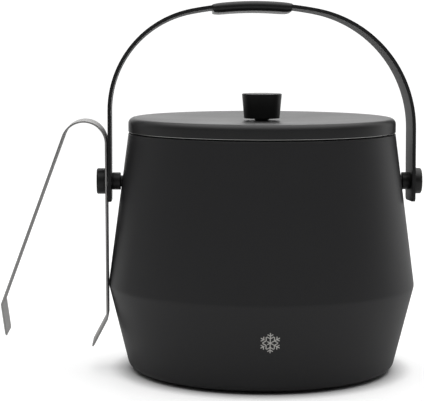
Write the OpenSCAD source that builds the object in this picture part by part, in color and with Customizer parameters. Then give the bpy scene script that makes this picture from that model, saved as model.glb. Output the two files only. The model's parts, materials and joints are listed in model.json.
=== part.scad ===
// Double-walled ice bucket with a lid, a bail handle and ice tongs that hang on the left handle stud.
// Millimetres. The origin is the centre of the footprint on the table. +Z is up, the front faces -Y,
// and the handle pivots lie along X with the tongs at -X.

/* [Body] */
// Radius at the kink, the widest point
kink_r = 100; // [98:0.5:102]
// Height of the kink above the table
kink_z = 56.5; // [52:0.5:60]
// Radius of the body at the rim
rim_r = 86.8; // [86:0.1:88]
// Height of the rim above the table
rim_z = 154.8; // [152:0.1:158]
// Radius where the lower cone would reach the base
foot_r = 86.3; // [84:0.1:88]
// Rounding of the bottom edge
foot_round = 6; // [4:0.5:8]
// Thickness of the outer sheet
shell_t = 1; // [0.8:0.1:1.2]
// Height of the anti-slip pad under the base
pad_h = 1.5; // [1:0.1:2.5]

/* [Liner] */
// Inside radius of the liner at the mouth
mouth_r = 78; // [76:0.1:79]
// Inside radius of the liner at its floor
floor_r = 76; // [74:0.1:77]
// Height of the liner floor above the table
floor_z = 12; // [10:0.5:20]
// Thickness of the liner and lid pan sheet
liner_t = 0.8; // [0.6:0.1:1]

/* [Lid] */
// Height of the lid cap from its lower edge to its top
lid_h = 9.2; // [8:0.1:11]
// How far the middle of the lid is dished
lid_dish = 2; // [0.5:0.1:2.5]
// Dark gap between the rim and the lid cap
lid_gap = 0.9; // [0.6:0.1:1.2]
// Rounding of the top edge of the lid
lid_round = 3.8; // [2:0.1:4.2]
// Depth of the lid pan below the rim
pan_depth = 8.8; // [6:0.1:14]
// Radius of the knob at the bottom
knob_bottom_r = 11.6; // [10:0.1:13]
// Radius of the knob at the top
knob_top_r = 13.1; // [11:0.1:15]
// Height of the knob
knob_h = 16; // [14:0.5:20]
// Height of the neck between lid and knob
neck_h = 1.4; // [0.8:0.1:3]

/* [Handle] */
// Height of the pivot axis above the table
pivot_z = 123.3; // [120:0.1:126]
// Outer face of the left arm of the handle, measured from the centre
band_x = 100; // [99.8:0.1:100.2]
// How much nearer to the body the right arm is
right_inset = 1; // [0:0.1:1.6]
// Thickness of the handle band
band_t = 2.2; // [1.8:0.1:2.4]
// Width of the handle band
band_w = 30; // [24:1:34]
// Length of the band below the pivot axis
band_tail = 13; // [10:0.5:14]
// Radius of the left shoulder of the arch, outside
left_arc_r = 66.7; // [62:0.1:72]
// Radius of the right shoulder of the arch, outside
right_arc_r = 78.6; // [74:0.1:82]
// How far the top of the arch stands towards the left
arch_shift = 4.9; // [0:0.1:6]
// Radius of the arch across the top, outside
top_arc_r = 213; // [190:1:240]
// Height of the arch above the pivot axis
arch_h = 115.2; // [113:0.1:118]
// How far the upright handle leans back
handle_lean = 2.5; // [0:0.5:4]
// Length of the grip
grip_len = 51.5; // [46:0.5:60]
// Width of the grip
grip_w = 34; // [32:1:38]
// Thickness of the grip
grip_t = 6.4; // [6:0.2:8]
// How far the grip sits to the left of the top of the arch
grip_shift = 1.9; // [0:0.1:3]
// How far the middle of the grip lies below the middle of the band
grip_drop = 1.1; // [0:0.1:1.2]

/* [Pivots] */
// Diameter of the round boss between body and band
boss_d = 11.4; // [11:0.1:12]
// Diameter of the boss spigot that passes through the shell
spigot_d = 7.4; // [7:0.1:8]
// Diameter of the pin shoulder that the band turns on
shoulder_d = 8; // [7.6:0.1:8.4]
// Diameter of the threaded shank
shank_d = 5; // [4:0.1:5]
// Diameter of the button
button_d = 16.8; // [16:0.1:17]
// Thickness of the button
button_h = 5.5; // [4:0.1:6]
// Room between the band and the left button, where the tongs hang
tongs_room = 2; // [1.7:0.1:2.5]

/* [Tongs] */
// Thickness of the tongs strip
tongs_t = 1.2; // [1:0.1:1.3]
// Width of the tongs strip
tongs_w = 30; // [26:1:34]
// Height of the top of the bend above the pivot axis
tongs_rise = 40; // [36:0.5:44]
// Outside radius of the bend
tongs_bend_r = 14.75; // [12:0.25:16]
// Opening angle between the arms
tongs_open = 20.5; // [16:0.5:24]
// Lean of the hanging arm towards the body
tongs_lean = 0.22; // [0.1:0.02:0.3]
// Length of the straight part of the hanging arm
hung_len = 114; // [110:0.5:118]
// Length of the straight part of the free arm
free_len = 116.5; // [112:0.5:120]
// Length of the bent-in tips
tip_len = 21; // [16:0.5:24]
// Angle of the bent-in tips
tip_angle = 28; // [20:1:32]
// Diameter of the hole that passes over the button
hang_hole_d = 17.6; // [17.4:0.1:18]

/* [Hidden] */

$fn = 128;
LEFT = -1;
RIGHT = 1;
// Largest distance between an arc and the short straights that draw it
chord_error = 0.012;
// Radial clearance of a pin in its hole
fit = 0.05;

coat = "#2b2b2d";
moulding = "#151516";
steel = "#b9babb";
silicone = "#1c1c1d";
nylon = "#1a1a1a";
brass = "#b7944c";

base_ring_r = 66;
base_plate_r = 72;
pad_r = 76;
boss_in = 91.9;
// Space for the washer between the end of the boss and the band
boss_gap = 0.6;
spigot_end = 88;
bush_d = 13;
bush_end = 83;
shank_end = 84.5;
washer_t = 0.45;
washer_d = 11;
head_d = 12;
head_h = 1.6;
button_gap_right = 0.15;
knob_screw_d = 4;
knob_washer_d = 12;
knob_washer_t = 0.8;
insert_d = 7.1;
insert_len = 10;
// Radial room round the knob screw where it passes through the lid and the neck
screw_room = 0.6;
neck_d = 9.4;
// Bend radius on the inside of the kink
kink_round = 7;
// How far a flange stays inside the sheet round it
flange_inset = 0.15;
// How far the lid stands out over the rim
lid_overhang = 0.1;
lid_bottom = rim_z + lid_gap;
lid_top = lid_bottom + lid_h;
lid_r = rim_r + lid_overhang;
// Top of the lid under the knob
dish_z = lid_top - lid_dish;
cap_under = dish_z - shell_t;
knob_bottom = dish_z + neck_h;
arch_top_z = pivot_z + arch_h;
grip_end_t = 4.4;
grip_end_drop = 0.6 * grip_drop;

// ---- outlines of bent sheet ----

// Unit direction from a to b
function toward(a, b) = (b - a) / norm(b - a);
// Direction v turned a quarter turn to the left
function left_of(v) = [-v[1], v[0]];
// Direction v turned by an angle
function turned(v, a) = [v[0] * cos(a) - v[1] * sin(a), v[0] * sin(a) + v[1] * cos(a)];
// Signed angle from direction u to direction v, left turns positive
function turn(u, v) = atan2(u[0] * v[1] - u[1] * v[0], u * v);
function xy(p) = [p[0], p[1]];

// Number of straights that draw an arc of radius r through an angle t
function arc_steps(r, t) = ceil(abs(t) / min(15, 2 * acos(1 - chord_error / max(r, 0.1))));

// Points of an arc of radius r that joins the lines a-b and b-c
function corner(a, b, c, r) =
    let (u = toward(a, b), v = toward(b, c), t = turn(u, v), s = sign(t),
         start = b - u * r * tan(abs(t) / 2),
         centre = start + s * r * left_of(u),
         steps = arc_steps(r, t))
    [for (i = [0 : steps]) centre - s * r * turned(left_of(u), t * i / steps)];

// An open path of [x, y, bend radius] with its bends drawn as arcs
function rounded(path) = [
    for (i = [0 : len(path) - 1])
        each (i == 0 || i == len(path) - 1 || path[i][2] <= 0)
            ? [xy(path[i])]
            : corner(xy(path[i - 1]), xy(path[i]), xy(path[i + 1]), path[i][2])
];

// The same path moved sideways by t, left positive, with the bend radii changed to match
function moved(path, t) = [
    for (i = [0 : len(path) - 1])
        let (before = i > 0 ? i - 1 : 0,
             after = i < len(path) - 1 ? i + 1 : i,
             u = toward(xy(path[before]), xy(path[before + 1])),
             v = toward(xy(path[after - 1]), xy(path[after])),
             p = xy(path[i]) + t * (left_of(u) + left_of(v)) / (1 + u * v))
        [p[0], p[1], max(0, path[i][2] - sign(turn(u, v)) * t)]
];

function reversed(list) = [for (i = [len(list) - 1 : -1 : 0]) list[i]];

// A sheet of thickness t laid to the left of a path
module sheet(path, t) {
    polygon(concat(rounded(path), reversed(rounded(moved(path, t)))));
}

// A closed outline with its corners rounded, for points of [x, y, radius]
function rounded_loop(points) =
    let (n = len(points))
    [for (i = [0 : n - 1])
        each points[i][2] <= 0
            ? [xy(points[i])]
            : corner(xy(points[(i + n - 1) % n]), xy(points[i]), xy(points[(i + 1) % n]), points[i][2])];

// Turns a drawing of [distance from the centre, height] into a slab of width w across Y
module slab(w) {
    rotate([90, 0, 0]) linear_extrude(height = w, center = true) children();
}

// ---- placing things on the handle axis ----

// Moves children drawn along +Z so that they point outwards along the pivot axis
module at_pivot(side) {
    translate([0, 0, pivot_z]) rotate([0, side * 90, 0]) children();
}

// A round bar along Z between two heights
module bar(d, from, to) {
    translate([0, 0, from]) cylinder(d = d, h = to - from);
}

// ---- body ----

shell_path = [
    [base_ring_r, pad_h, 0],
    [foot_r, pad_h, foot_round],
    [kink_r, kink_z, shell_t + kink_round],
    [rim_r, rim_z, 0]
];

module outer_shell() {
    color(coat) difference() {
        rotate_extrude() sheet(shell_path, shell_t);
        for (side = [LEFT, RIGHT])
            at_pivot(side) bar(spigot_d + 2 * fit, kink_r / 2, kink_r);
    }
}

module inner_liner() {
    floor_round = 10;
    lip_round = 1.2;
    color(steel) rotate_extrude() sheet([
        [0, floor_z, 0],
        [floor_r, floor_z, floor_round],
        [mouth_r, rim_z, lip_round],
        [rim_r - shell_t - flange_inset, rim_z, 0]
    ], -liner_t);
}

module base_plate() {
    color(coat) bar(2 * base_plate_r, pad_h + shell_t, pad_h + 2 * shell_t);
}

// Anti-slip disc with a step that locates it in the hole of the base
module base_pad() {
    edge = 0.5;
    step_r = base_ring_r - 2 * fit;
    color(silicone) rotate_extrude() polygon([
        [0, 0], [pad_r - edge, 0], [pad_r, edge], [pad_r, pad_h],
        [step_r, pad_h], [step_r, pad_h + shell_t - fit], [0, pad_h + shell_t - fit]
    ]);
}

// ---- pivots ----

// Outer face of the handle band and outer end of the boss, from the centre
function band_out(side) = side == LEFT ? band_x : band_x - right_inset;
function boss_out(side) = band_out(side) - band_t - boss_gap;

// Threaded bush welded to the inside of the shell, its face cut to the cone
module weld_bush(side) {
    inside = moved(shell_path, shell_t + fit);
    color(steel) difference() {
        intersection() {
            at_pivot(side) bar(bush_d, bush_end, kink_r);
            rotate_extrude() polygon(concat(
                [[0, inside[0][1]]], [for (p = inside) xy(p)], [[0, inside[3][1]]]));
        }
        at_pivot(side) bar(spigot_d + 2 * fit, spigot_end - fit, kink_r);
        at_pivot(side) bar(shank_d + 2 * fit, 0, kink_r);
    }
}

module pivot_boss(side) {
    color(moulding) at_pivot(side) difference() {
        union() {
            bar(boss_d, boss_in, boss_out(side));
            bar(spigot_d, spigot_end, boss_in);
        }
        bar(shank_d + 2 * fit, 0, kink_r);
    }
}

module pivot_washer(side) {
    color(nylon) at_pivot(side) difference() {
        bar(washer_d, boss_out(side) + fit, boss_out(side) + fit + washer_t);
        bar(shoulder_d + 2 * fit, 0, kink_r);
    }
}

// Shoulder screw; the left shoulder is longer and carries the tongs
function button_inner(side) = band_out(side) + (side == LEFT ? tongs_room : button_gap_right);

module pivot_pin(side) {
    inner = button_inner(side);
    color(steel) at_pivot(side) {
        bar(shank_d, shank_end, boss_out(side) + fit);
        bar(shoulder_d, boss_out(side) + fit, inner);
        bar(head_d, inner, inner + head_h);
    }
}

module pivot_button(side) {
    inner = button_inner(side);
    edge = 0.9;
    color(moulding) at_pivot(side) rotate_extrude() polygon([
        [head_d / 2 + fit, inner],
        [button_d / 2 - edge / 2, inner], [button_d / 2, inner + edge / 2],
        each corner([button_d / 2, inner], [button_d / 2, inner + button_h],
                    [0, inner + button_h], edge),
        [0, inner + button_h], [0, inner + head_h + fit],
        [head_d / 2 + fit, inner + head_h + fit]
    ]);
}

// ---- lid ----

// The top has a flat middle, a slope and a flat border, joined by wide bends
module lid_cap() {
    color(coat) rotate_extrude() sheet([
        [knob_screw_d / 2 + screw_room, dish_z, 0],
        [20, dish_z, 600],
        [70, lid_top, 500],
        [lid_r, lid_top, lid_round],
        [lid_r, lid_bottom, 0]
    ], -shell_t);
}

skirt_r = mouth_r - 1.4;

// Inner pan of the lid: a flange inside the cap and a skirt that drops into the mouth
module lid_pan() {
    pan_round = 3;
    taper = 0.4;
    color(steel) rotate_extrude() sheet([
        [0, rim_z - pan_depth, 0],
        [skirt_r - taper, rim_z - pan_depth, pan_round],
        [skirt_r, lid_bottom + fit, 0],
        [lid_r - shell_t - flange_inset, lid_bottom + fit, 0]
    ], liner_t);
}

// Silicone ring round the skirt, with a flange that the lid rests on
module lid_seal() {
    seal_r = skirt_r + 0.1;
    flange_r = 84;
    leg_t = 0.9;
    leg_h = 6;
    color(silicone) rotate_extrude() polygon([
        [seal_r, rim_z - leg_h], [seal_r + leg_t, rim_z - leg_h + leg_t],
        [seal_r + leg_t, rim_z + fit], [flange_r, rim_z + fit],
        [flange_r, lid_bottom], [seal_r, lid_bottom]
    ]);
}

module knob() {
    edge = 0.5;
    bore_top = knob_bottom + insert_len + 1;
    bore_r = insert_d / 2 + fit;
    color(moulding) rotate_extrude() polygon([
        [bore_r, knob_bottom],
        each corner([0, knob_bottom], [knob_bottom_r, knob_bottom],
                    [knob_top_r, knob_bottom + knob_h], edge),
        each corner([knob_bottom_r, knob_bottom], [knob_top_r, knob_bottom + knob_h],
                    [0, knob_bottom + knob_h], edge),
        [0, knob_bottom + knob_h], [0, bore_top], [bore_r, bore_top]
    ]);
}

module tube(outer_d, inner_d, from, to) {
    difference() {
        bar(outer_d, from, to);
        bar(inner_d, from - 1, to + 1);
    }
}

module knob_spacer() {
    color(moulding) tube(neck_d, knob_screw_d + 2 * screw_room, dish_z, knob_bottom);
}

module knob_insert() {
    color(brass) tube(insert_d, knob_screw_d + 2 * fit, knob_bottom + fit, knob_bottom + insert_len);
}

module knob_washer() {
    color(steel) tube(knob_washer_d, knob_screw_d + 4 * fit, cap_under - knob_washer_t, cap_under);
}

// Pan-head screw with a cross recess, driven from inside the lid
module knob_screw() {
    head_top = cap_under - knob_washer_t;
    pan_r = 4;
    pan_h = 2.4;
    slot = [4.4, 0.9, 1.2];
    color(steel) difference() {
        union() {
            bar(knob_screw_d, head_top, knob_bottom + insert_len - 1);
            rotate_extrude() polygon([
                [0, head_top],
                [pan_r, head_top],
                each reversed(corner([0, head_top - pan_h], [pan_r, head_top - pan_h], [pan_r, head_top], 1.2)),
                [0, head_top - pan_h]
            ]);
        }
        for (a = [0, 90])
            rotate(a) translate([-slot[0] / 2, -slot[1] / 2, head_top - pan_h - 1])
                cube([slot[0], slot[1], slot[2] + 1]);
    }
}

// ---- handle ----

// The arch has a top arc between two shoulder arcs, all tangent. For one side, where x runs outwards
// from the top of the arch, this is the angle of its half of the top arc.
function shoulder_r(side) = side == LEFT ? left_arc_r : right_arc_r;
function span(side) = band_out(side) + side * arch_shift;
function top_half(side) = asin((span(side) - shoulder_r(side)) / (top_arc_r - shoulder_r(side)));
arch_centre_z = arch_top_z - top_arc_r;

// Outside face of one half of the band; every corner is the meeting point of two tangents
function half_band(side) =
    let (r = shoulder_r(side), half = top_half(side),
         shoulder_z = arch_centre_z + (top_arc_r - r) * cos(half))
    [[top_arc_r * tan(half / 2), arch_top_z, top_arc_r],
     [span(side), shoulder_z + r * tan(45 - half / 2), r],
     [span(side), pivot_z - band_tail, 0]];

function band_path() = [
    for (p = reversed(half_band(LEFT))) [-p[0] - arch_shift, p[1], p[2]],
    for (p = half_band(RIGHT)) [p[0] - arch_shift, p[1], p[2]]
];

// Turns the handle back about the pivot axis, from upright
module leaning() {
    translate([0, 0, pivot_z]) rotate([-handle_lean, 0, 0]) translate([0, 0, -pivot_z]) children();
}

module handle_band() {
    end_round = 3;
    tail_z = pivot_z - band_tail;
    color(coat) leaning() difference() {
        slab(band_w) sheet(band_path(), -band_t);
        for (side = [LEFT, RIGHT])
            at_pivot(side) bar(shoulder_d + 2 * fit, kink_r / 2, kink_r + 1);
        // Rounded corners at both ends
        for (side = [-1, 1])
            translate([-kink_r - 1, side * (band_w / 2 - end_round), tail_z + end_round])
                rotate([0, 90, 0]) difference() {
                    translate([0, side > 0 ? 0 : -2 * end_round, 0])
                        cube([2 * end_round, 2 * end_round, 2 * kink_r + 2]);
                    cylinder(r = end_round, h = 2 * kink_r + 2);
                }
    }
}

// Cross-section of the grip as a thin slice at distance s along the top arc, its middle below the band's
module grip_slice(s, t, w, drop) {
    r = t / 2 - 0.01;
    slice = 0.1;
    translate([-arch_shift, 0, arch_centre_z])
        rotate([0, s / top_arc_r * 180 / PI, 0])
            translate([0, 0, top_arc_r - band_t / 2 - drop])
                rotate([0, 90, 0]) linear_extrude(height = slice, center = true)
                    polygon(rounded_loop([
                        [-t / 2, -w / 2, r], [t / 2, -w / 2, r],
                        [t / 2, w / 2, r], [-t / 2, w / 2, r]
                    ]));
}

module handle_grip() {
    end_w = band_w + 1.6;
    half = grip_len / 2;
    // Distance from the middle, thickness, width and drop
    left_half = [
        [-half, grip_end_t, end_w, grip_end_drop],
        [-half + 2.5, grip_t - 1, grip_w - 0.8, grip_drop],
        [-half + 7, grip_t, grip_w, grip_drop]
    ];
    stations = concat(left_half, [[0, grip_t, grip_w, grip_drop]],
                      [for (at = reversed(left_half)) [-at[0], at[1], at[2], at[3]]]);
    color(moulding) leaning() difference() {
        for (i = [0 : len(stations) - 2]) hull()
            for (at = [stations[i], stations[i + 1]])
                grip_slice(at[0] - grip_shift, at[1], at[2], at[3]);
        // Slot for the band
        slab(band_w + 2 * fit) translate([-arch_shift, arch_centre_z]) difference() {
            circle(r = top_arc_r + fit);
            circle(r = top_arc_r - band_t - fit);
        }
    }
}

// ---- tongs ----

hung_face_x = band_x + 0.5;
hung_bend = 90 - tongs_lean;
free_bend = 90 - (tongs_open - tongs_lean);
// The top of the bend, where the two halves meet
tongs_crown_x = hung_face_x + (tongs_rise - tongs_bend_r) * tan(tongs_lean) + tongs_bend_r;
tongs_crown_z = pivot_z + tongs_rise;
// Half of the slit between the two halves
crown_slit = 0.05;

// Outside face of one half of the tongs, from the top of the bend at the origin to the end of the tip
function tongs_path(bend, arm_len) =
    let (reach = tongs_bend_r * tan(bend / 2),
         bend_corner = [crown_slit + reach, 0],
         elbow = bend_corner + (reach + arm_len) * turned([1, 0], -bend),
         end = elbow + tip_len * turned([1, 0], -bend - tip_angle))
    [[crown_slit, 0, 0], [each bend_corner, tongs_bend_r], [each elbow, 2 * tongs_t], [each end, 0]];

// Cutter that leaves a row of teeth across the end of a tip that points along +X
module tooth_notches() {
    teeth = 5;
    pitch = tongs_w / teeth;
    depth = 1.8;
    linear_extrude(height = 6, center = true)
        for (i = [0 : teeth])
            translate([0, (i - teeth / 2) * pitch])
                polygon([[-depth, 0], [0, -pitch / 2], [1, -pitch / 2], [1, pitch / 2], [0, pitch / 2]]);
}

// One half of the tongs at the left of the bucket; side -1 is the hanging arm and +1 the free arm
module tongs_half(side, bend, arm_len) {
    path = tongs_path(bend, arm_len);
    end = path[3];
    mirror([1, 0, 0])
        translate([tongs_crown_x, 0, tongs_crown_z])
            mirror([side < 0 ? 1 : 0, 0, 0])
                difference() {
                    slab(tongs_w) sheet(path, -tongs_t);
                    translate([end[0], 0, end[1]]) rotate([0, bend + tip_angle, 0]) tooth_notches();
                }
}

// The hole rests on the top of the pin shoulder
module tongs_hung_arm() {
    hole_z = pivot_z + shoulder_d / 2 + fit - hang_hole_d / 2;
    color(steel) difference() {
        tongs_half(-1, hung_bend, hung_len);
        translate([0, 0, hole_z]) rotate([0, -90, 0]) bar(hang_hole_d, kink_r / 2, kink_r + 4);
    }
}

module tongs_free_arm() {
    color(steel) tongs_half(1, free_bend, free_len);
}

outer_shell();
inner_liner();
base_plate();
base_pad();
weld_bush(LEFT);  // weld_bush_left
weld_bush(RIGHT);  // weld_bush_right
pivot_boss(LEFT);  // pivot_boss_left
pivot_boss(RIGHT);  // pivot_boss_right
pivot_washer(LEFT);  // pivot_washer_left
pivot_washer(RIGHT);  // pivot_washer_right
pivot_pin(LEFT);  // pivot_pin_left
pivot_pin(RIGHT);  // pivot_pin_right
pivot_button(LEFT);  // pivot_button_left
pivot_button(RIGHT);  // pivot_button_right
lid_cap();
lid_pan();
lid_seal();
knob();
knob_spacer();
knob_insert();
knob_screw();
knob_washer();
handle_band();
handle_grip();
tongs_hung_arm();
tongs_free_arm();
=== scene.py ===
"""Ice bucket with lid, bail handle and hanging ice tongs, dressed over its CAD frame."""
import json
import math
import bmesh
import bpy
from mathutils import Matrix, Vector


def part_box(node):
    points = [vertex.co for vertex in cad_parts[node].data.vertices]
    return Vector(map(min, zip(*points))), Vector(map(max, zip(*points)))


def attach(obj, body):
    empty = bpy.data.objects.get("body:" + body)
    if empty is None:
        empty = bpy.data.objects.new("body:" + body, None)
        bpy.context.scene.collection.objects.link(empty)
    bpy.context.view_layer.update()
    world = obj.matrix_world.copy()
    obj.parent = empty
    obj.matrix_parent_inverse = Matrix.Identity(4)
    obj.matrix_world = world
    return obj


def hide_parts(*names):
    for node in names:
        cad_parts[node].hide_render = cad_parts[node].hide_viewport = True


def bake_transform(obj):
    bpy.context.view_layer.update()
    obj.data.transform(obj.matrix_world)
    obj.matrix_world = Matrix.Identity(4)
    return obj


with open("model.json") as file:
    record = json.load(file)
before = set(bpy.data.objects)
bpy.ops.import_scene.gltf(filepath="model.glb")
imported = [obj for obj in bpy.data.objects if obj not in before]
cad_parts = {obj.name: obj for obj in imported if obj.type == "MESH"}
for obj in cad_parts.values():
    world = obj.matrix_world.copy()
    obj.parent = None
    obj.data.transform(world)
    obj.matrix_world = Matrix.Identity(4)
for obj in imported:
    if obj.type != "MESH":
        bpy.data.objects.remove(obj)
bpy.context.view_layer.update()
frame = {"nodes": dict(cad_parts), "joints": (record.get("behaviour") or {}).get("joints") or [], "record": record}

MM = 0.001
LEFT = -1
RIGHT = 1
ROUND_STEPS = 256

# ---- sizes taken from the frame, in metres ----


def top_of(node):
    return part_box(node)[1].z


def bottom_of(node):
    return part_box(node)[0].z


def radius_of(node):
    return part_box(node)[1].x


PIVOT_Z = next(j["pos_m"][2] for j in frame["joints"] if j["name"] == "handle_swing")
RIM_Z = top_of("inner_liner")

# ---- sizes that the boxes don't give, the same as in the CAD model ----

# The handle before it is leant back
ARCH_TOP = PIVOT_Z + 115.2 * MM
BAND_END = PIVOT_Z - 13 * MM
HANDLE_LEAN = math.radians(2.5)
BAND_WIDTH = 30 * MM
BAND_THICK = 2.2 * MM
BAND_CORNER = 3 * MM
BAND_HOLE_R = 4.05 * MM
SHOULDER_R = {LEFT: 66.7 * MM, RIGHT: 78.6 * MM}
TOP_ARC_R = 213 * MM
ARCH_X = -4.9 * MM
TONGS_THICK = 1.2 * MM
TONGS_WIDTH = 30 * MM
TONGS_BEND_R = 14.75 * MM
TONGS_ELBOW_R = 2.4 * MM
TONGS_OPEN = math.radians(20.5)
TONGS_LEAN = math.radians(0.22)
HUNG_LEN = 114 * MM
FREE_LEN = 116.5 * MM
TIP_LEN = 21 * MM
TIP_ANGLE = math.radians(28)
HANG_HOLE_R = 8.8 * MM
PIN_SHOULDER_R = 4 * MM
KINK_Z = 56.5 * MM
KINK_R = 100 * MM
KINK_ROUND = 8 * MM
FOOT_R = 86.3 * MM
RIM_R = 86.8 * MM
SHELL_THICK = 1 * MM
BASE_HOLE_R = 66 * MM
SPIGOT_HOLE_R = 3.75 * MM
BOSS_STEP = 91.9 * MM
LID_DISH = 2 * MM
KNOB_BOTTOM_R = 11.6 * MM
PAD_H = 1.5 * MM

# ---- materials ----


class Nodes:
    """A small helper that adds shader nodes and joins them."""

    def __init__(self, name):
        self.material = bpy.data.materials.new(name)
        self.material.use_nodes = True
        self.tree = self.material.node_tree
        self.shader = self.tree.nodes["Principled BSDF"]

    def add(self, kind, **settings):
        node = self.tree.nodes.new(kind)
        for key, value in settings.items():
            setattr(node, key, value)
        return node

    def join(self, source, target):
        self.tree.links.new(source, target)

    def set(self, **values):
        for key, value in values.items():
            self.shader.inputs[key.replace("_", " ")].default_value = value

    def place(self, scale=(1, 1, 1)):
        """Object coordinates in metres, stretched."""
        coordinates = self.add("ShaderNodeTexCoord")
        mapping = self.add("ShaderNodeMapping")
        mapping.inputs["Scale"].default_value = scale
        self.join(coordinates.outputs["Object"], mapping.inputs["Vector"])
        return mapping.outputs["Vector"]

    def round_place(self, around, along, axis="Z"):
        """Coordinates for marks that run round an axis: angle slowly, radius and height quickly."""
        coordinates = self.add("ShaderNodeTexCoord")
        parts = self.add("ShaderNodeSeparateXYZ")
        self.join(coordinates.outputs["Object"], parts.inputs[0])
        first, second = [letter for letter in "XYZ" if letter != axis]
        angle = self.math("ARCTAN2", parts.outputs[second], parts.outputs[first])
        flat = self.add("ShaderNodeCombineXYZ")
        self.join(parts.outputs[first], flat.inputs[0])
        self.join(parts.outputs[second], flat.inputs[1])
        length = self.add("ShaderNodeVectorMath", operation="LENGTH")
        self.join(flat.outputs[0], length.inputs[0])
        out = self.add("ShaderNodeCombineXYZ")
        self.join(self.math("MULTIPLY", angle, around), out.inputs[0])
        self.join(self.math("MULTIPLY", length.outputs["Value"], along), out.inputs[1])
        self.join(self.math("MULTIPLY", parts.outputs[axis], along), out.inputs[2])
        return out.outputs[0]

    def math(self, operation, first, second):
        node = self.add("ShaderNodeMath", operation=operation)
        for socket, value in zip(node.inputs, (first, second)):
            if hasattr(value, "links"):
                self.join(value, socket)
            else:
                socket.default_value = value
        return node.outputs[0]

    def noise(self, place, scale, detail=3.0, rough=0.55):
        node = self.add("ShaderNodeTexNoise")
        node.inputs["Scale"].default_value = scale
        node.inputs["Detail"].default_value = detail
        node.inputs["Roughness"].default_value = rough
        self.join(place, node.inputs["Vector"])
        return node.outputs["Fac"]

    def spread(self, value, low, high, from_low=0.3, from_high=0.7):
        """Maps a noise value to a range of numbers."""
        node = self.add("ShaderNodeMapRange")
        for socket, number in zip(list(node.inputs)[1:5], (from_low, from_high, low, high)):
            socket.default_value = number
        self.join(value, node.inputs["Value"])
        return node.outputs["Result"]

    def shade(self, value, colour, amount):
        """Base colour that gets lighter and darker by a share of itself."""
        ramp = self.add("ShaderNodeMix", data_type="RGBA")
        dark = [c * (1 - amount) for c in colour]
        light = [c * (1 + amount) for c in colour]
        ramp.inputs["A"].default_value = (*dark, 1)
        ramp.inputs["B"].default_value = (*light, 1)
        self.join(value, ramp.inputs["Factor"])
        self.join(ramp.outputs["Result"], self.shader.inputs["Base Color"])

    def bumps(self, *layers):
        """Bump layers of (height, distance in metres), the first one lowest."""
        normal = None
        for height, distance in layers:
            bump = self.add("ShaderNodeBump")
            bump.inputs["Strength"].default_value = 1.0
            bump.inputs["Distance"].default_value = distance
            self.join(height, bump.inputs["Height"])
            if normal:
                self.join(normal, bump.inputs["Normal"])
            normal = bump.outputs["Normal"]
        self.join(normal, self.shader.inputs["Normal"])


def powder_coat(name, colour, roughness, grain=1.0):
    """Sprayed and baked powder: fine grain, slight orange peel, faint clouds in the sheen."""
    m = Nodes(name)
    place = m.place()
    peel = m.noise(place, 420, 2.0)
    grains = m.noise(place, 2600, 2.0, 0.6)
    clouds = m.noise(place, 18, 3.0)
    m.shade(m.spread(grains, 0, 1), colour, 0.22)
    sheen = m.spread(clouds, roughness - 0.025, roughness + 0.025)
    fleck = m.spread(grains, -0.05, 0.05)
    m.join(m.math("ADD", sheen, fleck), m.shader.inputs["Roughness"])
    m.bumps((peel, 0.000012 * grain), (grains, 0.000004 * grain))
    m.set(IOR=1.4)
    return m.material


def moulding(name, colour, roughness, texture=1.0):
    """Black moulded plastic with a spark-eroded texture."""
    m = Nodes(name)
    place = m.place()
    erosion = m.noise(place, 1500, 3.0, 0.7)
    wipe = m.noise(place, 60, 2.0)
    m.shade(m.spread(erosion, 0, 1), colour, 0.25)
    m.join(m.spread(wipe, roughness - 0.04, roughness + 0.05), m.shader.inputs["Roughness"])
    m.bumps((erosion, 0.000010 * texture))
    m.set(IOR=1.46)
    return m.material


def rubber(name, colour):
    m = Nodes(name)
    place = m.place()
    skin = m.noise(place, 700, 3.0, 0.7)
    dust = m.noise(place, 90, 4.0, 0.7)
    m.shade(m.spread(dust, 0, 1), colour, 0.3)
    m.join(m.spread(skin, 0.62, 0.8), m.shader.inputs["Roughness"])
    m.bumps((skin, 0.00001))
    m.set(IOR=1.41)
    return m.material


def brushed(name, colour, roughness, place_of, glance=1.0, depth=0.000002, anisotropy=0.5):
    """Metal with fine parallel scratches; place_of gives coordinates that vary fast across them.
    A glance below 1 is the share of the mirroring left at a shallow angle."""
    m = Nodes(name)
    place = place_of(m)
    lines = m.noise(place, 1.0, 4.0, 0.75)
    broad = m.noise(m.place(), 25, 2.0)
    m.shade(m.spread(lines, 0, 1), colour, 0.08)
    streak = m.spread(lines, -0.06, 0.06)
    cloud = m.spread(broad, roughness - 0.03, roughness + 0.03)
    m.join(m.math("ADD", streak, cloud), m.shader.inputs["Roughness"])
    m.bumps((lines, depth))
    m.set(Metallic=1.0, Anisotropic=anisotropy)
    if glance < 1:
        slant = m.add("ShaderNodeLayerWeight").outputs["Facing"]
        m.join(m.spread(slant, 1, glance, 0.7, 0.95), m.shader.inputs["Metallic"])
        m.set(Specular_IOR_Level=0)
    return m.material


def along_strip(m):
    """Scratches that run along a strip bent in the XZ plane."""
    return m.place((40, 5200, 40))


def round_z(m):
    return m.round_place(3.0, 4200)


def round_x(m):
    return m.round_place(3.0, 5200, axis="X")


def print_ink(name, colour):
    """Screen-printed ink: pale and slightly uneven."""
    m = Nodes(name)
    mottle = m.noise(m.place(), 1800, 3.0, 0.6)
    m.shade(m.spread(mottle, 0, 1), colour, 0.06)
    m.join(m.spread(mottle, 0.5, 0.65), m.shader.inputs["Roughness"])
    m.bumps((mottle, 0.000003))
    return m.material


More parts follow.
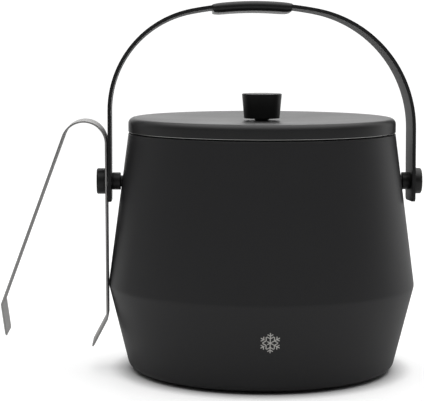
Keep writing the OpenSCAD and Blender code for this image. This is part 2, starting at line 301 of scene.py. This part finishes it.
COAT = powder_coat("charcoal_powder_coat", (0.0205, 0.0205, 0.0215), 0.47)
LID_COAT = powder_coat("lid_powder_coat", (0.021, 0.021, 0.0215), 0.42)
BAND_COAT = powder_coat("band_powder_coat", (0.011, 0.011, 0.0115), 0.55)
BLACK = moulding("black_moulding", (0.0062, 0.0062, 0.0062), 0.42)
GRIP_BLACK = moulding("grip_moulding", (0.008, 0.008, 0.0083), 0.38, 0.6)
SILICONE = rubber("dark_silicone", (0.018, 0.018, 0.0185))
NYLON = moulding("black_nylon", (0.008, 0.008, 0.008), 0.5)
STAINLESS = brushed("satin_stainless", (0.6, 0.6, 0.59), 0.3, round_z)
TONGS_STEEL = brushed("brushed_tongs_steel", (0.41, 0.405, 0.4), 0.36, along_strip, glance=0.3)
BARE_EDGE = brushed("bare_lid_edge", (0.5, 0.5, 0.49), 0.3, round_z)
TURNED = brushed("turned_steel", (0.45, 0.45, 0.45), 0.3, round_x)
FIXING = brushed("fixing_steel", (0.45, 0.45, 0.45), 0.3, round_z)
BRASS = brushed("machined_brass", (0.62, 0.45, 0.2), 0.28, round_z)
INK = print_ink("pale_print", (0.62, 0.61, 0.58))

SLOT_MATERIALS = {
    "coated_steel": COAT, "lid_coat": LID_COAT, "band_coat": BAND_COAT,
    "black_moulding": BLACK, "grip_moulding": GRIP_BLACK, "silicone": SILICONE,
    "nylon": NYLON, "stainless": STAINLESS, "fixing_steel": FIXING,
    "tongs_steel": TONGS_STEEL, "brass": BRASS,
}
TURNED_NODES = ["weld_bush_left", "weld_bush_right", "pivot_pin_left", "pivot_pin_right"]


def dress_cad_nodes():
    for part in frame["record"]["subparts"]:
        node = part["node"]
        material = TURNED if node in TURNED_NODES else SLOT_MATERIALS[part["material_slot"]]
        mesh = frame["nodes"][node].data
        mesh.materials.clear()
        mesh.materials.append(material)


# ---- building pieces ----


def piece(name, mesh_bm, material, body, nodes=(), sharp=35):
    """A finished mesh that rides on a body and stands for CAD nodes."""
    bmesh.ops.recalc_face_normals(mesh_bm, faces=mesh_bm.faces)
    limit = math.radians(sharp)
    for face in mesh_bm.faces:
        face.smooth = True
    for edge in mesh_bm.edges:
        edge.smooth = not (edge.is_manifold and edge.calc_face_angle(0) > limit)
    mesh = bpy.data.meshes.new(name)
    mesh_bm.to_mesh(mesh)
    mesh_bm.free()
    mesh.materials.append(material)
    made = bpy.data.objects.new(name, mesh)
    bpy.context.scene.collection.objects.link(made)
    if body:
        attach(made, body)
    if nodes:
        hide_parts(*nodes)
    return made


def softened(outline, steps=6):
    """A closed outline of (r, z, fillet radius) with its corners rounded."""
    points = []
    count = len(outline)
    for i, (r, z, fillet) in enumerate(outline):
        here = Vector((r, z))
        if fillet <= 0:
            points.append((r, z))
            continue
        before = (Vector(outline[i - 1][:2]) - here).normalized()
        after = (Vector(outline[(i + 1) % count][:2]) - here).normalized()
        half = before.angle(after) / 2
        reach = fillet / math.tan(half)
        centre = here + (before + after).normalized() * fillet / math.sin(half)
        first = here + before * reach - centre
        last = here + after * reach - centre
        sweep = first.angle_signed(last)
        for k in range(steps + 1):
            spoke = first.copy()
            spoke.rotate(Matrix.Rotation(-sweep * k / steps, 2))
            points.append(tuple(centre + spoke))
    return points


def lathe(outline, steps=ROUND_STEPS, axis="Z", side=1):
    """Turns a closed outline of (r, z) round an axis; points on the axis are joined to one vertex."""
    bm = bmesh.new()
    rings = []
    for r, z in outline:
        if r < 1e-7:
            rings.append([bm.verts.new(turned_place(0, 0, z, axis, side))] * steps)
            continue
        rings.append([
            bm.verts.new(turned_place(r * math.cos(a), r * math.sin(a), z, axis, side))
            for a in (2 * math.pi * i / steps for i in range(steps))
        ])
    count = len(rings)
    for i in range(count):
        low, high = rings[i], rings[(i + 1) % count]
        for k in range(steps):
            n = (k + 1) % steps
            corners = dict.fromkeys((low[k], low[n], high[n], high[k]))
            if len(corners) > 2:
                bm.faces.new(corners)
    return bm


def turned_place(u, v, w, axis, side):
    """A point turned round Z, or round the pivot line and pushed out to one side."""
    if axis == "Z":
        return (u, v, w)
    return (side * w, u, PIVOT_Z + v)


# ---- bent strips ----


def direction(angle):
    return Vector((math.cos(angle), math.sin(angle)))


def advance(point, angle, curve, length):
    """Goes along a straight or an arc of a given curvature from a point and heading in the XZ plane."""
    if abs(curve) < 1e-9:
        return point + length * direction(angle), angle
    turned = angle + curve * length
    step = Vector((math.sin(turned) - math.sin(angle), math.cos(angle) - math.cos(turned)))
    return point + step / curve, turned


class Line:
    """A line of straights and arcs, given as (length, curvature), that can be asked for any place on it."""

    def __init__(self, start, heading, moves):
        self.parts = []
        self.length = 0.0
        point, angle = Vector(start), heading
        for length, curve in moves:
            self.parts.append((self.length, length, point, angle, curve))
            point, angle = advance(point, angle, curve, length)
            self.length += length

    def at(self, s):
        chosen = self.parts[0]
        for part in self.parts:
            if s >= part[0]:
                chosen = part
        return advance(chosen[2], chosen[3], chosen[4], s - chosen[0])

    def stations(self, straight=5 * MM, turn=math.radians(4)):
        """Places along the line, close together on the arcs."""
        places = [0.0]
        for begin, length, _, _, curve in self.parts:
            step = min(straight, turn / abs(curve)) if curve else straight
            count = max(1, math.ceil(length / step))
            places += [begin + length * (i + 1) / count for i in range(count)]
        return places


def columns(width, corner, count):
    """Places across a strip, symmetrical, closer together over the rounded corners."""
    half = width / 2
    steps = 6 if corner else 0
    bend = [half - corner + corner * math.sin(math.pi / 2 * i / steps) for i in range(1, steps + 1)]
    inner = half - corner
    middle = [-inner + 2 * inner * i / count for i in range(count + 1)]
    return [-y for y in reversed(bend)] + middle + bend


def flat_strip(rows, cols, thick, holes, trim, edge):
    """A flat strip with holes and bevelled edges: x is the length, y the width and z the thickness.

    holes are (x, radius, reach); trim(x, y) moves a point of the outline along x.
    """
    bm = bmesh.new()
    for x, _, reach in holes:
        rows = [r for r in rows if abs(r - x) > reach * 1.02] + [x + reach * (i / 8 - 1) for i in range(17)]
    rows = sorted(rows)
    grid = [[bm.verts.new((trim(x, y), y, 0)) for y in cols] for x in rows]
    open_cells = set()
    for x, radius, reach in holes:
        open_cells |= cut_hole(bm, grid, rows, cols, x, radius, reach)
    for i in range(len(rows) - 1):
        for k in range(len(cols) - 1):
            if (i, k) not in open_cells:
                bm.faces.new((grid[i][k], grid[i + 1][k], grid[i + 1][k + 1], grid[i][k + 1]))
    loose = [v for v in bm.verts if not v.link_faces]
    bmesh.ops.delete(bm, geom=loose, context="VERTS")
    made = bmesh.ops.extrude_face_region(bm, geom=bm.faces[:])
    lifted = [g for g in made["geom"] if isinstance(g, bmesh.types.BMVert)]
    bmesh.ops.translate(bm, vec=(0, 0, thick), verts=lifted)
    bmesh.ops.recalc_face_normals(bm, faces=bm.faces)
    sharp = [e for e in bm.edges if e.is_manifold and e.calc_face_angle(0) > math.radians(60)
             and abs(e.verts[0].co.z - e.verts[1].co.z) < thick / 2]
    bmesh.ops.bevel(bm, geom=sharp, offset=edge, segments=3, profile=0.5, affect="EDGES", clamp_overlap=True)
    return bm


def cut_hole(bm, grid, rows, cols, x, radius, reach):
    """Opens a round hole in a square patch of the grid and joins its rim to the patch's edge."""
    first = [i for i, r in enumerate(rows) if r >= x - reach - 1e-9][0]
    last = [i for i, r in enumerate(rows) if r <= x + reach + 1e-9][-1]
    near = [k for k, y in enumerate(cols) if abs(y) <= reach + 1e-9]
    low, high = near[0], near[-1]
    loop = [grid[i][low] for i in range(first, last)]
    loop += [grid[last][k] for k in range(low, high)]
    loop += [grid[i][high] for i in range(last, first, -1)]
    loop += [grid[first][k] for k in range(high, low, -1)]
    rings = [loop]
    for share in (0.5, 0.85, 1.0):
        ring = []
        for v in loop:
            angle = math.atan2(v.co.y, v.co.x - x)
            rim = Vector((x + radius * math.cos(angle), radius * math.sin(angle), 0))
            ring.append(bm.verts.new(v.co.lerp(rim, share)))
        rings.append(ring)
    for outer, inner in zip(rings, rings[1:]):
        for k in range(len(loop)):
            n = (k + 1) % len(loop)
            bm.faces.new((outer[k], outer[n], inner[n], inner[k]))
    return {(i, k) for i in range(first, last) for k in range(low, high)}


def bend_along(bm, place):
    """Lays a flat strip along a line; place(x) gives a point and heading, and z goes to the line's left."""
    for v in bm.verts:
        point, angle = place(v.co.x)
        there = point + direction(angle + math.pi / 2) * v.co.z
        v.co = Vector((there.x, v.co.y, there.y))


# ---- handle ----


def arch(side):
    """Outside line of one half of the handle, from the top of the arch outwards and down."""
    low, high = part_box("handle_band")
    span = high.x - ARCH_X if side == RIGHT else ARCH_X - low.x
    shoulder = SHOULDER_R[side]
    half = math.asin((span - shoulder) / (TOP_ARC_R - shoulder))
    shoulder_z = ARCH_TOP - TOP_ARC_R + (TOP_ARC_R - shoulder) * math.cos(half)
    return Line((0, ARCH_TOP), 0, [
        (TOP_ARC_R * half, -1 / TOP_ARC_R),
        (shoulder * (math.pi / 2 - half), -1 / shoulder),
        (shoulder_z - BAND_END, 0),
    ])


ARCH = {side: arch(side) for side in (LEFT, RIGHT)}


def arch_place(x):
    point, angle = ARCH[RIGHT if x > 0 else LEFT].at(abs(x))
    if x < 0:
        return Vector((ARCH_X - point.x, point.y)), -angle
    return Vector((ARCH_X + point.x, point.y)), angle


def lean_back(bm):
    """Turns the upright handle back about its pivots, the way it rests."""
    turn = Matrix.Rotation(-HANDLE_LEAN, 3, "X")
    bmesh.ops.rotate(bm, cent=(0, 0, PIVOT_Z), matrix=turn, verts=bm.verts)


def handle_band():
    tail = PIVOT_Z - BAND_END
    stations = {side: ARCH[side].stations(4 * MM, math.radians(2.5)) for side in (LEFT, RIGHT)}
    rows = [-s for s in reversed(stations[LEFT][1:])] + stations[RIGHT]
    holes = [(side * (ARCH[side].length - tail), BAND_HOLE_R, 6 * MM) for side in (LEFT, RIGHT)]

    def trim(x, y):
        past = abs(y) - (BAND_WIDTH / 2 - BAND_CORNER)
        if past <= 0:
            return x
        setback = BAND_CORNER - math.sqrt(max(0, BAND_CORNER ** 2 - past ** 2))
        length = ARCH[RIGHT if x > 0 else LEFT].length
        near_end = max(0, 1 - (length - abs(x)) / (6 * MM))
        return x - math.copysign(setback * near_end, x)

    bm = flat_strip(rows, columns(BAND_WIDTH, BAND_CORNER, 16), BAND_THICK, holes, trim, 0.35 * MM)
    for v in bm.verts:
        v.co.z = -v.co.z
    bend_along(bm, arch_place)
    lean_back(bm)
    piece("handle_band_strip", bm, BAND_COAT, "handle", ["handle_band"])


GRIP_HALF = 25.75 * MM
GRIP_THICK = 6.4 * MM
GRIP_WIDTH = 34 * MM
GRIP_END_THICK = 4.4 * MM
GRIP_END_WIDTH = BAND_WIDTH + 1.6 * MM
GRIP_TAPER = 8 * MM
GRIP_SHIFT = 1.9 * MM
GRIP_DROP = 1.1 * MM
GRIP_END_DROP = 0.66 * MM


def grip_size(s):
    """Thickness, width and drop of the grip at a distance from its middle: full, then rounded off."""
    past = max(0.0, abs(s) - (GRIP_HALF - GRIP_TAPER)) / GRIP_TAPER
    full = math.sqrt(max(0.0, 1 - past ** 2.2))
    pairs = ((GRIP_END_THICK, GRIP_THICK), (GRIP_END_WIDTH, GRIP_WIDTH), (GRIP_END_DROP, GRIP_DROP))
    return [end + (middle - end) * full for end, middle in pairs]


def grip_section(thick, width):
    """Points round a flat oval with full round edges and very slightly crowned faces."""
    crown = 0.25 * MM
    nose = thick / 2
    flat = width / 2 - nose
    across, half = 10, 24
    loop = [(flat + nose * math.cos(a), nose * math.sin(a))
            for a in (-math.pi / 2 + math.pi * i / half for i in range(half + 1))]
    for k in range(1, across):
        y = flat * (1 - 2 * k / across)
        loop.append((y, nose + crown * (1 - (y / flat) ** 2)))
    return loop + [(-y, -z) for y, z in loop]


def handle_grip():
    """The moulded grip, swept along the top of the arch."""
    bm = bmesh.new()
    count = 72
    rings = []
    for i in range(count + 1):
        s = GRIP_HALF * math.sin(math.pi / 2 * (2 * i / count - 1))
        thick, width, drop = grip_size(s)
        point, angle = arch_place(s - GRIP_SHIFT)
        up = direction(angle + math.pi / 2)
        centre = point - up * (BAND_THICK / 2 + drop)
        ring = []
        for y, z in grip_section(thick, width):
            there = centre + up * z
            ring.append(bm.verts.new((there.x, y, there.y)))
        rings.append(ring)
    size = len(rings[0])
    for low, high in zip(rings, rings[1:]):
        for k in range(size):
            n = (k + 1) % size
            bm.faces.new((low[k], low[n], high[n], high[k]))
    bm.faces.new(rings[0])
    bm.faces.new(reversed(rings[-1]))
    ends = [e for e in bm.edges if e.calc_face_angle(0) > math.radians(50)]
    bmesh.ops.bevel(bm, geom=ends, offset=0.3 * MM, segments=2, profile=0.5, affect="EDGES")
    lean_back(bm)
    piece("handle_grip_cover", bm, GRIP_BLACK, "handle", ["handle_grip"])


# ---- tongs ----


def tongs_line(bend, arm):
    """Outside line of one half of the tongs, from the top of the bend to the end of the tip."""
    shorter = TONGS_ELBOW_R * math.tan(TIP_ANGLE / 2)
    return Line((0, 0), 0, [
        (TONGS_BEND_R * bend, -1 / TONGS_BEND_R),
        (arm - shorter, 0),
        (TONGS_ELBOW_R * TIP_ANGLE, -1 / TONGS_ELBOW_R),
        (TIP_LEN - shorter, 0),
    ])


def tongs():
    """One sprung strip: the hanging arm, the bend and the free arm, with toothed tips."""
    hung = tongs_line(math.pi / 2 - TONGS_LEAN, HUNG_LEN)
    free = tongs_line(math.pi / 2 - TONGS_OPEN + TONGS_LEAN, FREE_LEN)
    crown = Vector((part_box("tongs_hung_arm")[0].x, top_of("tongs_hung_arm")))
    hole_z = PIVOT_Z + PIN_SHOULDER_R - HANG_HOLE_R
    drop = crown.y - hole_z
    bend_drop = TONGS_BEND_R * math.cos(TONGS_LEAN)
    hole = TONGS_BEND_R * (math.pi / 2 - TONGS_LEAN) + (drop - bend_drop) / math.cos(TONGS_LEAN)
    rows = [-s for s in reversed(free.stations()[1:])] + hung.stations()
    teeth = 5
    pitch = TONGS_WIDTH / teeth
    depth = 1.8 * MM

    def trim(x, y):
        length = hung.length if x > 0 else free.length
        near_end = max(0, 1 - (length - abs(x)) / (4 * MM))
        wave = abs(((y + TONGS_WIDTH / 2) / pitch) % 1 - 0.5) * 2
        return x - math.copysign(depth * wave * near_end, x)

    def place(x):
        point, angle = (hung if x > 0 else free).at(abs(x))
        if x < 0:
            return crown + Vector((-point.x, point.y)), -angle
        return crown + point, angle

    bm = flat_strip(rows, columns(TONGS_WIDTH, 0, 20), TONGS_THICK,
                    [(hole, HANG_HOLE_R, 12 * MM)], trim, 0.25 * MM)
    for v in bm.verts:
        v.co.z = -v.co.z
    bend_along(bm, place)
    made = piece("tongs_strip", bm, TONGS_STEEL, None, ["tongs_hung_arm", "tongs_free_arm"])
    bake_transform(made)


# ---- pivots ----


def side_name(side):
    return "left" if side == LEFT else "right"


def outward(node, side):
    """How far a node reaches from the centre along X: (inner, outer)."""
    low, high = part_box(node)
    return (low.x, high.x) if side == RIGHT else (-high.x, -low.x)


def pivots():
    for side in (LEFT, RIGHT):
        word = side_name(side)
        button = f"pivot_button_{word}"
        inner, outer = outward(button, side)
        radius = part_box(button)[1].y
        socket = 6.05 * MM
        socket_end = inner + 1.65 * MM
        face = softened([
            (socket, inner, 0), (radius, inner, 0.35 * MM), (radius, outer, 1.1 * MM),
            (radius * 0.55, outer, 0), (0, outer - 0.25 * MM, 0), (0, socket_end, 0), (socket, socket_end, 0),
        ])
        piece(f"button_{word}", lathe(face, 96, "X", side), BLACK, "bucket", [button])
        boss = f"pivot_boss_{word}"
        inner, outer = outward(boss, side)
        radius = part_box(boss)[1].y
        bore = 2.55 * MM
        neck = 3.7 * MM
        body = softened([
            (bore, inner, 0), (neck, inner, 0.2 * MM),
            (neck, BOSS_STEP, 0.25 * MM), (radius, BOSS_STEP, 0.45 * MM),
            (radius, outer, 0.3 * MM), (bore, outer, 0),
        ])
        piece(f"boss_{word}", lathe(body, 96, "X", side), BLACK, "bucket", [boss])


# ---- body ----


def outer_shell():
    """The coated outer sheet, with a rounded rim and the two holes for the pivot spigots."""
    lower = math.atan((KINK_R - FOOT_R) / (KINK_Z - PAD_H))
    upper = math.atan((KINK_R - RIM_R) / (RIM_Z - KINK_Z))
    inside_low = SHELL_THICK / math.cos(lower)
    inside_up = SHELL_THICK / math.cos(upper)
    floor = PAD_H + SHELL_THICK
    foot_in = FOOT_R + SHELL_THICK * math.tan(lower) - inside_low
    outline = softened([
        (BASE_HOLE_R, PAD_H, 0.2 * MM), (FOOT_R, PAD_H, 6 * MM), (KINK_R, KINK_Z, KINK_ROUND),
        (RIM_R, RIM_Z, 0.4 * MM), (RIM_R - inside_up, RIM_Z, 0.25 * MM),
        (KINK_R - inside_up, KINK_Z, KINK_ROUND - SHELL_THICK), (foot_in, floor, 5 * MM),
        (BASE_HOLE_R, floor, 0.2 * MM),
    ], 10)
    shell = piece("outer_shell_sheet", lathe(outline), COAT, "bucket", ["outer_shell"])
    drill = lathe([(0, -KINK_R), (SPIGOT_HOLE_R, -KINK_R), (SPIGOT_HOLE_R, KINK_R), (0, KINK_R)], 64, "X")
    bmesh.ops.recalc_face_normals(drill, faces=drill.faces)
    mesh = bpy.data.meshes.new("drill")
    drill.to_mesh(mesh)
    drill.free()
    tool = bpy.data.objects.new("drill", mesh)
    bpy.context.scene.collection.objects.link(tool)
    cut = shell.modifiers.new("spigot_holes", "BOOLEAN")
    cut.operation = "DIFFERENCE"
    cut.solver = "EXACT"
    cut.object = tool
    apply_modifiers(shell)
    bpy.data.objects.remove(tool)
    mark_sharp(shell.data)


def apply_modifiers(thing):
    """Puts the modified mesh in the place of the object's own."""
    graph = bpy.context.evaluated_depsgraph_get()
    made = bpy.data.meshes.new_from_object(thing.evaluated_get(graph))
    thing.modifiers.clear()
    thing.data = made


def mark_sharp(mesh, limit=math.radians(35)):
    bm = bmesh.new()
    bm.from_mesh(mesh)
    for edge in bm.edges:
        edge.smooth = edge.calc_face_angle(0) < limit
    bm.to_mesh(mesh)
    bm.free()


# ---- lid ----


# The cut lower edge of the lid, below the coat
LID_BARE_H = 0.4 * MM


def lid():
    radius = radius_of("lid_cap")
    low, high = bottom_of("lid_cap"), top_of("lid_cap")
    sheet = 1 * MM
    bore = 2.6 * MM
    dish = high - LID_DISH
    cap = softened([
        (bore, dish, 0), (20 * MM, dish, 600 * MM), (70 * MM, high, 500 * MM), (radius, high, 3.8 * MM),
        (radius, low, 0.5 * MM), (radius - sheet, low, 0.45 * MM), (radius - sheet, high - sheet, 2.8 * MM),
        (70 * MM, high - sheet, 500 * MM), (20 * MM, dish - sheet, 600 * MM), (bore, dish - sheet, 0),
    ], 12)
    made = piece("lid_cap_sheet", lathe(cap), LID_COAT, "lid", ["lid_cap"])
    made.data.materials.append(BARE_EDGE)
    for face in made.data.polygons:
        if all(made.data.vertices[i].co.z < low + LID_BARE_H for i in face.vertices):
            face.material_index = 1

    low, high = bottom_of("lid_seal"), top_of("lid_seal")
    inner = 76.7 * MM
    leg = inner + 0.7 * MM
    lip = inner + 1.15 * MM
    flange = radius_of("lid_seal")
    ring = [
        (inner, low, 0), (leg, low, 0.3 * MM), (leg, low + 1.2 * MM, 0), (lip, low + 1.9 * MM, 0.15 * MM),
        (leg, low + 2.5 * MM, 0), (leg, low + 3.4 * MM, 0), (lip, low + 4.1 * MM, 0.15 * MM),
        (leg, low + 4.7 * MM, 0), (leg, high - 0.85 * MM, 0.2 * MM), (flange, high - 0.85 * MM, 0.35 * MM),
        (flange, high, 0.2 * MM), (inner, high, 0),
    ]
    piece("lid_seal_ring", lathe(softened(ring, 4)), SILICONE, "lid", ["lid_seal"])

    low, high = bottom_of("knob"), top_of("knob")
    wide = radius_of("knob")
    bore = 3.6 * MM
    bore_top = low + 11 * MM
    shape = [
        (bore, low, 0.2 * MM), (KNOB_BOTTOM_R, low, 0.55 * MM), (wide, high, 0.6 * MM), (wide * 0.6, high, 0),
        (0, high - 0.12 * MM, 0), (0, bore_top, 0), (bore, bore_top, 0),
    ]
    piece("knob_body", lathe(softened(shape, 8), 128), BLACK, "lid", ["knob"])


# ---- base ----


def foot_disc():
    """Anti-slip disc with round grooves in its face."""
    outer = radius_of("base_pad")
    low, high = bottom_of("base_pad"), top_of("base_pad")
    step = BASE_HOLE_R - 0.1 * MM
    groove = 0.45 * MM
    outline = [(outer, low, 0.5 * MM), (outer, PAD_H, 0.1 * MM), (step, PAD_H, 0), (step, high, 0.2 * MM),
               (0, high, 0), (0, low, 0)]
    count = 12
    pitch = outer / (count + 0.6)
    for i in range(count):
        centre = pitch * (i + 1)
        outline += [(centre - 0.7 * MM, low, 0), (centre - 0.4 * MM, low + groove, 0),
                    (centre + 0.4 * MM, low + groove, 0), (centre + 0.7 * MM, low, 0)]
    piece("foot_disc", lathe(softened(outline, 4)), SILICONE, "bucket", ["base_pad"])


# ---- printed mark ----


def snowflake():
    """A plain six-armed snowflake printed on the lower cone of the front."""
    arm = 6.4 * MM
    stroke = 0.62 * MM
    bars = []
    for k in range(6):
        turn = math.radians(90 + 60 * k)
        bars.append((Vector((0, 0)), direction(turn) * arm))
        for share, twig in ((0.45, 2.3 * MM), (0.72, 1.7 * MM)):
            root = direction(turn) * arm * share
            for lean in (-1, 1):
                bars.append((root, root + direction(turn + lean * math.radians(60)) * twig))
    bm = bmesh.new()
    for layer, (start, end) in enumerate(bars):
        bar(bm, start, end, stroke, layer)
    height = 34 * MM
    slope = (KINK_R - FOOT_R) / (KINK_Z - PAD_H)
    lean = math.atan(slope)
    for v in bm.verts:
        x, y, lift = v.co
        z = height + y * math.cos(lean)
        r = FOOT_R + (z - PAD_H) * slope + lift
        angle = x / r
        v.co = Vector((r * math.sin(angle), -r * math.cos(angle), z - lift * math.sin(lean)))
    piece("snowflake_print", bm, INK, "bucket")


def bar(bm, start, end, stroke, layer):
    """A thin round-ended bar; each layer is a hair higher so that crossings don't flicker."""
    along = (end - start).normalized()
    across = Vector((-along.y, along.x)) * stroke / 2
    ends = []
    for centre, heading in ((start, math.pi / 2), (end, -math.pi / 2)):
        for i in range(9):
            a = heading + math.pi * i / 8
            ends.append(centre + along * math.cos(a) * stroke / 2 + across * math.sin(a))
    under = 0.02 * MM
    top = 0.03 * MM + layer * 0.0006 * MM
    low = [bm.verts.new((p.x, p.y, -under)) for p in ends]
    high = [bm.verts.new((p.x, p.y, top)) for p in ends]
    bm.faces.new(high)
    bm.faces.new(reversed(low))
    for k in range(len(ends)):
        n = (k + 1) % len(ends)
        bm.faces.new((low[k], low[n], high[n], high[k]))


dress_cad_nodes()
handle_band()
handle_grip()
tongs()
pivots()
outer_shell()
lid()
foot_disc()
snowflake()

# ---- stage, light and camera ----

# The brightness of the room away from its bright areas, and for each bright area its direction, the
# cosines between which it fades in, and how much it adds
ROOM_LIGHT = 0.13
BRIGHT_AREAS = {
    "backdrop": ((0, 1, 0), 0.80, 0.97, 1.45),
    "right_wall": ((0.5, 0.866, 0), 0.6, 1.0, 0.8),
    "left_wall": ((-0.6, 0.8, 0), 0.65, 1.0, 0.3),
    "ceiling": ((0, 0.1, 0.995), 0.35, 0.95, 1.0),
}


def studio_floor():
    """A plain pale floor; a painted glow that only the camera sees lifts it to white, but not close round the
    base, where it is left darker as painted shade on top of its real contact shadow.
    """
    m = Nodes("studio_paper")
    grain = m.noise(m.place(), 90, 3.0)
    m.shade(m.spread(grain, 0, 1), (0.62, 0.62, 0.62), 0.01)
    m.set(Roughness=0.7, IOR=1.3)
    away = m.add("ShaderNodeVectorMath", operation="LENGTH")
    m.join(m.place(), away.inputs[0])
    # Painted glow: emission strength 0 within 84 mm of the middle, rising to 0.5 at 100 mm, so the ring round the
    # base is painted shade
    clear = m.spread(away.outputs["Value"], 0, 0.5, 0.084, 0.1)
    seen = m.add("ShaderNodeLightPath").outputs["Is Camera Ray"]
    m.join(m.math("MULTIPLY", clear, seen), m.shader.inputs["Emission Strength"])
    m.set(Emission_Color=(1, 1, 1, 1))
    bm = bmesh.new()
    reach = 1.6
    for x, y in ((-reach, -reach), (reach, -reach), (reach, reach), (-reach, reach)):
        bm.verts.new((x, y, 0))
    bm.faces.new(bm.verts[:])
    mesh = bpy.data.meshes.new("studio_floor")
    bm.to_mesh(mesh)
    bm.free()
    mesh.materials.append(m.material)
    made = bpy.data.objects.new("studio_floor", mesh)
    bpy.context.scene.collection.objects.link(made)


def soft_light(name, place, target, size, power):
    lamp = bpy.data.lights.new(name, "AREA")
    lamp.shape = "RECTANGLE"
    lamp.size, lamp.size_y = size
    lamp.energy = power
    made = bpy.data.objects.new(name, lamp)
    made.location = place
    made.rotation_euler = (Vector(target) - Vector(place)).to_track_quat("-Z", "Y").to_euler()
    bpy.context.scene.collection.objects.link(made)


def studio_world():
    """Bright behind, to the right and above, dark round the eye; the camera itself sees plain white."""
    world = bpy.data.worlds.new("studio")
    world.use_nodes = True
    bpy.context.scene.world = world
    tree = world.node_tree
    towards = tree.nodes.new("ShaderNodeTexCoord").outputs["Generated"]
    brightest = None
    for aim, low, high, extra in BRIGHT_AREAS.values():
        cosine = tree.nodes.new("ShaderNodeVectorMath")
        cosine.operation = "DOT_PRODUCT"
        cosine.inputs[1].default_value = aim
        tree.links.new(towards, cosine.inputs[0])
        area = tree.nodes.new("ShaderNodeMapRange")
        area.interpolation_type = "SMOOTHSTEP"
        tree.links.new(cosine.outputs["Value"], area.inputs["Value"])
        for socket, number in zip(list(area.inputs)[1:5], (low, high, ROOM_LIGHT, ROOM_LIGHT + extra)):
            socket.default_value = number
        if brightest:
            most = tree.nodes.new("ShaderNodeMath")
            most.operation = "MAXIMUM"
            tree.links.new(brightest, most.inputs[0])
            tree.links.new(area.outputs["Result"], most.inputs[1])
            brightest = most.outputs[0]
        else:
            brightest = area.outputs["Result"]
    pick = tree.nodes.new("ShaderNodeMix")
    tree.links.new(tree.nodes.new("ShaderNodeLightPath").outputs["Is Camera Ray"], pick.inputs["Factor"])
    tree.links.new(brightest, pick.inputs["A"])
    pick.inputs["B"].default_value = 1.1
    tree.links.new(pick.outputs["Result"], tree.nodes["Background"].inputs["Strength"])
    tree.nodes["Background"].inputs["Color"].default_value = (1, 1, 1, 1)


def camera():
    """The eye is in front of the bucket, a little to its left and above the rim."""
    distance, height = 1.0575, 0.2231
    azimuth = math.radians(-3.5)
    pan, pitch, roll = math.radians(1.753), math.radians(6.093), math.radians(0.101)
    lens_pixels, picture_width, sensor = 1622.74, 424, 36.0
    place = Vector((distance * math.sin(azimuth), -distance * math.cos(azimuth), height))
    ahead = Vector((-math.sin(azimuth), math.cos(azimuth), 0))
    ahead.rotate(Matrix.Rotation(pan, 3, "Z"))
    ahead = ahead * math.cos(pitch) - Vector((0, 0, math.sin(pitch)))
    right = ahead.cross(Vector((0, 0, 1))).normalized()
    up = right.cross(ahead)
    right, up = right * math.cos(roll) + up * math.sin(roll), up * math.cos(roll) - right * math.sin(roll)
    data = bpy.data.cameras.new("camera")
    data.sensor_width = sensor
    data.lens = lens_pixels / picture_width * sensor
    made = bpy.data.objects.new("camera", data)
    turn = Matrix((right, up, -ahead)).transposed().to_4x4()
    made.matrix_world = Matrix.Translation(place) @ turn
    bpy.context.scene.collection.objects.link(made)
    bpy.context.scene.camera = made


studio_floor()
studio_world()
soft_light("top_box", (0.0, 0.3, 2.0), (0, 0.3, 0), (3.0, 3.0), 30)
camera()
bpy.context.scene.view_settings.view_transform = "Standard"
